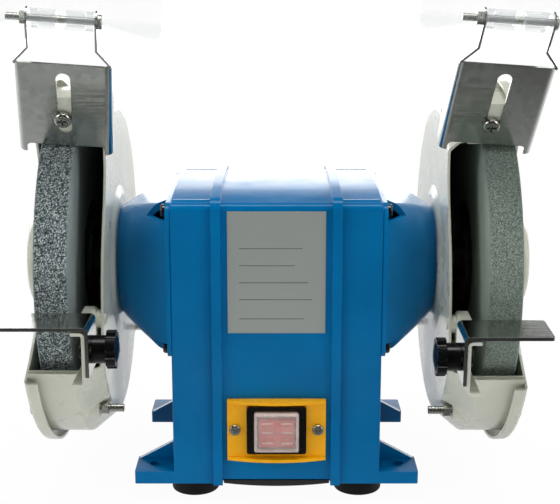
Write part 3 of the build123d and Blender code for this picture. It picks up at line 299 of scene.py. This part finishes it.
def satin_label(name, colour):
    """Printed aluminium label: an even, fine-brushed grey."""
    finish = Finish(name, colour, 0.45, metallic=0.35, Specular_IOR_Level=0.3)
    brushed = finish.noise(1500, 3, 0.6, stretch=(0.02, 1, 1))
    finish.feed(finish.mix(brushed, colour, shaded(colour, 0.93)), "Base Color")
    finish.feed(finish.level(brushed, 0.3, 0.7, 0.4, 0.5), "Roughness")
    finish.bump((brushed, 0.000004), radius=0.0003)
    return finish.material


def abrasive(name, grain_scale, dark, middle, light, depth, contrast):
    """Bonded grit: grains of many greys with pores between them, and flanks dressed smoother."""
    finish = Finish(name, middle, 0.85, Specular_IOR_Level=0.3)
    grains = finish.level(finish.cells(grain_scale, "Color"), 0, 1, 0.5 - contrast, 0.5 + contrast)
    cloud = finish.level(finish.noise(grain_scale * 0.6, 4, 0.7), 0.25, 0.75, -contrast / 2, contrast / 2)
    face = finish.ramp(finish.math("ADD", grains, cloud), [(0.1, dark), (0.5, middle), (0.92, light)])
    flank = finish.mix(finish.level(finish.noise(grain_scale * 1.3, 3), 0.3, 0.7), middle, light)
    smooth = finish.mix(0.55, middle, flank)
    finish.feed(finish.mix(finish.facing_x(), face, smooth), "Base Color")
    finish.feed(finish.level(grains, 0.85, 1.0, 0.9, 0.3), "Roughness")
    pores = finish.cells(grain_scale, "Distance")
    finish.bump((pores, -depth), (finish.noise(grain_scale * 0.4, 3), depth), radius=0.0008)
    return finish.material


def moulded(name, colour, roughness, grain=0.00001, grain_scale=1800, **sockets):
    """Injection-moulded plastic or rubber: a fine skin, slight clouding and dulled edges."""
    finish = Finish(name, colour, roughness, **sockets)
    worn = shaded(colour, 1.25, 0.005)
    share = finish.math("MULTIPLY", finish.edges(), finish.level(finish.noise(300), 0.35, 0.7))
    finish.feed(finish.mix(share, colour, worn), "Base Color")
    finish.feed(finish.level(finish.noise(120, 4), 0.3, 0.7, roughness - 0.05, roughness + 0.1), "Roughness")
    finish.bump((finish.noise(grain_scale, 2), grain), radius=0.0004)
    return finish.material


KNUCKLE = (0.005, 0.009)  # the haze fades over this distance from the hinge's axis


def clear_sheet(name, colour, hinge):
    """Clear plastic: faint smears, edges that show, and milky where it is thick round its hinge."""
    finish = Finish(name, colour, 0.05, Alpha=0.03, IOR=1.49)
    smears = finish.level(finish.noise(35, 5, 0.65), 0.35, 0.75, 0.02, 0.05)
    rim = finish.level(finish.add("ShaderNodeLayerWeight").outputs["Facing"], 0.55, 0.95, 0.0, 0.45)
    thick = finish.level(finish.off_axis(hinge["pos_m"], hinge["axis"]), *KNUCKLE, 0.30, 0.0)
    shown = finish.math("ADD", finish.math("MAXIMUM", rim, thick), smears)
    finish.feed(shown, "Alpha")
    finish.feed(finish.level(finish.noise(90, 4), 0.3, 0.7, 0.05, 0.17), "Roughness")
    finish.bump((finish.noise(40, 2), 0.00002), radius=0.0004)
    return finish.material


def frosted_cover(name, colour, node):
    """Soft clear cover: nearly clear in the middle, milky where its rim is thick."""
    finish = Finish(name, colour, 0.3, Alpha=0.3, IOR=1.45)
    low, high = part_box(node)
    middle = (low + high) / 2
    x, y, z = finish.parts()
    reach = finish.math("MAXIMUM", finish.distance(x, middle.x, (high.x - low.x) / 2),
                        finish.distance(z, middle.z, (high.z - low.z) / 2))
    rim = finish.level(reach, 0.84, 0.93, 0.0, 0.45)
    haze = finish.level(finish.noise(350, 4, 0.7), 0.35, 0.7, 0.16, 0.34)
    finish.feed(finish.math("ADD", rim, haze), "Alpha")
    finish.feed(finish.level(finish.noise(500, 3), 0.3, 0.7, 0.2, 0.45), "Roughness")
    finish.bump((finish.noise(160, 3), 0.00008), radius=0.0004)
    return finish.material


def laminated():
    """Stacked electrical steel: fine lines across the spindle."""
    steel = srgb(120, 124, 128)
    finish = Finish("laminated steel", steel, 0.45, metallic=0.9)
    sheets = finish.add("ShaderNodeTexWave", wave_type="BANDS", bands_direction="X")
    finish.put(sheets, "Vector", finish.place)
    finish.put(sheets, "Scale", 320)
    finish.feed(finish.mix(sheets.outputs["Fac"], srgb(70, 72, 75), steel), "Base Color")
    finish.bump((sheets.outputs["Fac"], 0.00008))
    return finish.material


def winding_wire():
    """Enamelled copper wire, laid along and round the end turns."""
    copper = srgb(184, 104, 58)
    finish = Finish("enamelled wire", copper, 0.3, metallic=0.7, Coat_Weight=0.6)
    wires = finish.noise(1100, 2, stretch=(1, 0.1, 0.1))
    finish.feed(finish.mix(wires, srgb(120, 58, 30), copper), "Base Color")
    finish.bump((wires, 0.0002))
    return finish.material


ZINC = srgb(196, 197, 188)
CLEAR = srgb(236, 242, 244)
MATERIALS = {
    # The last colour given to each enamel is a painted highlight along its sharp edges
    "blue_paint": enamel("blue enamel", srgb(0, 112, 172), srgb(0, 104, 161), srgb(24, 140, 198), 0.18,
                         gloss=0.1, coat=0.1),
    "cream_paint": enamel("cream powder coat", srgb(208, 210, 195), srgb(201, 203, 188),
                          srgb(228, 229, 216), 0.28, 0.00004, coat=0.3),
    "black_steel": enamel("black enamel", srgb(16, 16, 17), srgb(12, 12, 13), srgb(60, 60, 60), 0.22),
    "zinc_sheet": sheet_steel("zinc-plated sheet", srgb(190, 193, 188), 0.14),
    "zinc_fastener": plated("zinc-plated fastener", ZINC, 0.2),
    "steel": plated("turned steel", srgb(170, 172, 174), 0.3),
    "cast_aluminium": plated("cast aluminium", srgb(188, 190, 192), 0.42),
    "laminations": laminated(),
    "copper": winding_wire(),
    "coarse_abrasive": abrasive("coarse grit", 1500, srgb(14, 22, 26), srgb(98, 113, 115),
                                srgb(214, 224, 222), 0.0003, 0.5),
    "fine_abrasive": abrasive("fine grit", 2300, srgb(60, 72, 64), srgb(120, 134, 125), srgb(180, 192, 182),
                              0.00015, 0.4),
    # The blotter card is a real part, but its near-black colour is partly painted shade for the shadowed middle of
    # the wheel's side
    "blotter": moulded("blotter card in painted shade", srgb(38, 38, 40), 0.8, 0.00004, 1200),
    "black_plastic": moulded("black plastic", srgb(10, 11, 12), 0.26, Specular_IOR_Level=0.3),
    "grey_plastic": moulded("grey plastic", srgb(110, 112, 112), 0.45),
    "yellow_plastic": moulded("yellow plastic", srgb(250, 178, 0), 0.26, Specular_IOR_Level=0.3),
    "red_plastic": moulded("red plastic", srgb(212, 58, 54), 0.3),
    "clear_plastic": clear_sheet("clear plastic", CLEAR, joints["left_shield_tilt"]),
    "rubber": moulded("black rubber", srgb(8, 8, 9), 0.5, 0.00003, 900, Specular_IOR_Level=0.3),
    "silver_label": satin_label("satin label", srgb(176, 183, 178)),
}
NODE_FINISHES = {             # nodes whose finish isn't their slot's
    "cover_screws": threaded("threads along the spindle", ZINC, 0.0009, "X"),
    "left_shield_bolt": threaded("threads of the shield bolts", ZINC, 0.0007, "X"),
    # Black enamel screws; their dark colour is also painted shade for the shadowed pockets at the bells' corners
    "end_bell_screws": MATERIALS["black_steel"],
    "switch_dust_cover": frosted_cover("frosted cover", srgb(232, 214, 208), "switch_dust_cover"),
}
NODE_FINISHES["right_shield_bolt"] = NODE_FINISHES["left_shield_bolt"]
NODE_FINISHES["right_eye_shield"] = clear_sheet("clear plastic at the right", CLEAR,
                                                joints["right_shield_tilt"])


def dress_cad():
    """Gives each CAD node the finish of its material slot."""
    for entry in frame["record"]["subparts"]:
        mesh = nodes[entry["node"]].data
        mesh.materials.clear()
        mesh.materials.append(NODE_FINISHES.get(entry["node"], MATERIALS[entry["material_slot"]]))


dress_cad()


# ---- Fine detail ----
BAR_ROUND = 0.3           # a bar's edges are rounded by this share of its thinnest side


def bar(shape, size, place, turn=None):
    """Adds a bar with rounded edges to a bmesh."""
    made = bmesh.ops.create_cube(shape, size=1.0)["verts"]
    bmesh.ops.scale(shape, vec=size, verts=made)
    edges = {edge for vert in made for edge in vert.link_edges}
    made = bmesh.ops.bevel(shape, geom=list(edges), offset=BAR_ROUND * min(size), segments=2,
                           affect="EDGES", profile=0.5)["verts"]
    if turn:
        bmesh.ops.rotate(shape, cent=(0, 0, 0), matrix=turn, verts=made)
    bmesh.ops.translate(shape, vec=place, verts=made)


def piece(name, shape, finish, body):
    """Makes an object from a bmesh and lets it ride on a body."""
    mesh = bpy.data.meshes.new(name)
    shape.to_mesh(mesh)
    shape.free()
    for face in mesh.polygons:
        face.use_smooth = True
    mesh.materials.append(finish)
    made = bpy.data.objects.new(name, mesh)
    bpy.context.scene.collection.objects.link(made)
    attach(made, body)


ROCKER_REST = radians(8)      # the rocker rests tipped this far
ROCKER_PIVOT = joints["switch_rock"]["pos_m"]
RIB_ROWS = ((0.0068, -0.0071), (0.0, -0.0060), (-0.0068, -0.0071))   # height and depth of the face there
RIB_COLUMNS = (-0.0056, 0.0064)
RIB = (0.0070, 0.0007, 0.0011)

# Rows of the nameplate: height above its foot and length, as shares of its height and width
LABEL_ROWS = ((0.70, 0.64), (0.56, 0.56), (0.42, 0.70), (0.28, 0.74), (0.12, 0.66))
LABEL_MARGIN = 0.12
LABEL_LINE = 0.0004
LABEL_INK = 0.0001        # thickness of the print
LABEL_LIFT = 0.00002      # its middle is this far in front of the plate


def rocker_ribs():
    """Six short ribs on the face of the rocker, in two columns, coloured pale as a painted highlight."""
    shape = bmesh.new()
    turn = Matrix.Rotation(ROCKER_REST, 3, "X")
    for up, depth in RIB_ROWS:
        for across in RIB_COLUMNS:
            place = turn @ Vector((across, depth, up)) + Vector(ROCKER_PIVOT)
            bar(shape, RIB, place, turn)
    # Painted highlight: the ribs are near white, standing in for the glints on them
    pale = moulded("rocker ribs in painted highlight", srgb(250, 214, 206), 0.35)
    piece("rocker_ribs", shape, pale, "rocker")


def label_rules():
    """Plain printed rules on the bare nameplate, where a form would be filled in."""
    low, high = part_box("nameplate")
    size = high - low
    shape = bmesh.new()
    for share, length in LABEL_ROWS:
        width = length * size.x
        place = (low.x + LABEL_MARGIN * size.x + width / 2, low.y - LABEL_LIFT, low.z + share * size.z)
        bar(shape, (width, LABEL_INK, LABEL_LINE), place)
    ink = moulded("grey ink", srgb(96, 100, 98), 0.6)
    piece("label_rules", shape, ink, "base")


rocker_ribs()
label_rules()

# ---- Stage ----
FLOOR_FRONT = -1.0        # the table's front edge
FLOOR_REACH = 6.0
FLOOR_DROP = 0.0002       # below the feet, so that the two share no plane
FLOOR_COLOUR = (0.86, 0.86, 0.86, 1)
FLOOR_FADE = (0.12, 0.30, 0.96, 1.0)     # distance from the origin, and how much of the floor is plain white

# What a shiny surface sees of the floor: dim in front of the machine, most of all to the right
FLOOR_SIDES = (-0.14, -0.02, 0.42, 0.14)     # X, and how bright the dim part is
FLOOR_SHINE = (-0.18, 0.10)              # Y over which it brightens towards the back
FLOOR_DARK = (-0.50, -0.25, 0.15, 1.0)   # Y, and the share left of it, which falls towards the camera

AMBIENT = 0.14            # what the room adds to the soft boxes
ROOM_FRONT = 0.03         # how bright the room behind the camera is to a shiny surface
ROOM_TURN = (-0.3, 0.3)   # Y of a direction, from the room in front to the backdrop
BACKDROP = (0.25, 0.31, 1.0, 0.12)       # Z of a direction, and how bright the backdrop is there


def seen_plainly(tree, *kinds):
    """1 for rays of these kinds, and 0 for the rest."""
    path = tree.nodes.new("ShaderNodeLightPath")
    total = path.outputs[kinds[0]]
    for ray in kinds[1:]:
        both = tree.nodes.new("ShaderNodeMath")
        both.operation = "MAXIMUM"
        tree.links.new(total, both.inputs[0])
        tree.links.new(path.outputs[ray], both.inputs[1])
        total = both.outputs[0]
    return total


def pale_floor():
    """Matt floor that looks white where nothing shades it, and whiter away from the object."""
    shape = bmesh.new()
    spots = [(-FLOOR_REACH, FLOOR_FRONT), (FLOOR_REACH, FLOOR_FRONT), (FLOOR_REACH, FLOOR_REACH),
             (-FLOOR_REACH, FLOOR_REACH)]
    shape.faces.new([shape.verts.new((x, y, FLOOR_Z - FLOOR_DROP)) for x, y in spots])
    mesh = bpy.data.meshes.new("floor")
    shape.to_mesh(mesh)
    shape.free()
    floor = bpy.data.objects.new("floor", mesh)
    bpy.context.scene.collection.objects.link(floor)
    finish = Finish("pale floor", FLOOR_COLOUR, 0.9)
    tree = finish.tree
    tree.nodes.remove(finish.shader)
    matt = finish.add("ShaderNodeBsdfDiffuse")
    matt.inputs["Color"].default_value = FLOOR_COLOUR
    glow = finish.add("ShaderNodeEmission")
    away = finish.add("ShaderNodeVectorMath", operation="LENGTH")
    finish.put(away, 0, finish.place)
    share = finish.level(away.outputs["Value"], *FLOOR_FADE)
    share = finish.math("MULTIPLY", share, seen_plainly(tree, "Is Camera Ray", "Is Transmission Ray"))
    shiny = seen_plainly(tree, "Is Glossy Ray")
    x, y, _ = finish.parts()
    mirrored = finish.level(y, *FLOOR_SHINE, finish.level(x, *FLOOR_SIDES), 1.0)
    mirrored = finish.math("MULTIPLY", mirrored, finish.level(y, *FLOOR_DARK))
    finish.put(glow, "Strength", finish.level(shiny, 0, 1, 1.0, mirrored))
    share = finish.math("MAXIMUM", share, shiny)
    blend = finish.add("ShaderNodeMixShader")
    tree.links.new(share, blend.inputs[0])
    tree.links.new(matt.outputs[0], blend.inputs[1])
    tree.links.new(glow.outputs[0], blend.inputs[2])
    tree.links.new(blend.outputs[0], tree.nodes["Material Output"].inputs["Surface"])
    mesh.materials.append(finish.material)


def white_world():
    """White to the camera and through glass; to a shiny surface, white behind and dim in front."""
    world = bpy.data.worlds.new("studio")
    bpy.context.scene.world = world
    world.use_nodes = True
    tree = world.node_tree
    ways = tree.nodes.new("ShaderNodeSeparateXYZ")
    tree.links.new(tree.nodes.new("ShaderNodeTexCoord").outputs["Generated"], ways.inputs[0])
    backdrop = map_range(tree, ways.outputs["Z"], *BACKDROP)
    mirrored = map_range(tree, ways.outputs["Y"], *ROOM_TURN, ROOM_FRONT, backdrop)
    strength = map_range(tree, seen_plainly(tree, "Is Glossy Ray"), 0, 1, AMBIENT, mirrored)
    plain = seen_plainly(tree, "Is Camera Ray", "Is Transmission Ray")
    strength = map_range(tree, plain, 0, 1, strength, 1.0)
    background = tree.nodes["Background"]
    background.inputs["Color"].default_value = (1, 1, 1, 1)
    tree.links.new(strength, background.inputs["Strength"])


MIDDLE = (0, 0, AXIS_H)
FOOT = (0, 0, 0.02)
SOFT_BOXES = (            # name, place, target, width and height, watts, whether shiny surfaces show it
    ("left soft box", (-1.45, -0.85, 0.80), MIDDLE, (0.8, 1.2), 9.5, True),
    ("right soft box", (1.45, -0.85, 0.80), MIDDLE, (0.8, 1.2), 9.5, True),
    ("top soft box", (0, -0.20, 1.5), MIDDLE, (0.9, 0.5), 12, True),
    ("low soft box", (0, -0.27, 0.0), FOOT, (0.26, 0.04), 0.07, False),
    ("left rim box", (-1.3, 1.1, 0.9), MIDDLE, (0.8, 1.0), 10, True),
    ("right rim box", (1.3, 1.1, 0.9), MIDDLE, (0.8, 1.0), 10, True),
    ("back soft box", (0, 2.3, 0.36), MIDDLE, (3.2, 1.0), 24, True),
)


def soft_box(name, place, target, size, watts, mirrored):
    """A rectangular lamp that faces its target."""
    light = bpy.data.lights.new(name, "AREA")
    light.shape = "RECTANGLE"
    light.size, light.size_y = size
    light.energy = watts
    lamp = bpy.data.objects.new(name, light)
    bpy.context.scene.collection.objects.link(lamp)
    lamp.location = place
    lamp.visible_glossy = mirrored
    lamp.rotation_euler = (Vector(target) - Vector(place)).to_track_quat("-Z", "Y").to_euler()


def camera():
    """The photo's view, tipped down at the spindle."""
    data = bpy.data.cameras.new("camera")
    data.sensor_width = CAMERA_SENSOR
    data.lens = CAMERA_LENS
    data.shift_x = CAMERA_SHIFT_X
    seen_from = bpy.data.objects.new("camera", data)
    bpy.context.scene.collection.objects.link(seen_from)
    back, up = sin(CAMERA_TIP), cos(CAMERA_TIP)
    seen_from.location = (0, -CAMERA_AWAY * up + CAMERA_UP * back,
                          AXIS_H + CAMERA_AWAY * back + CAMERA_UP * up)
    seen_from.rotation_euler = (pi / 2 - CAMERA_TIP, 0, 0)
    bpy.context.scene.camera = seen_from


camera()
pale_floor()
white_world()
for box in SOFT_BOXES:
    soft_box(*box)
bpy.context.scene.view_settings.view_transform = "Standard"
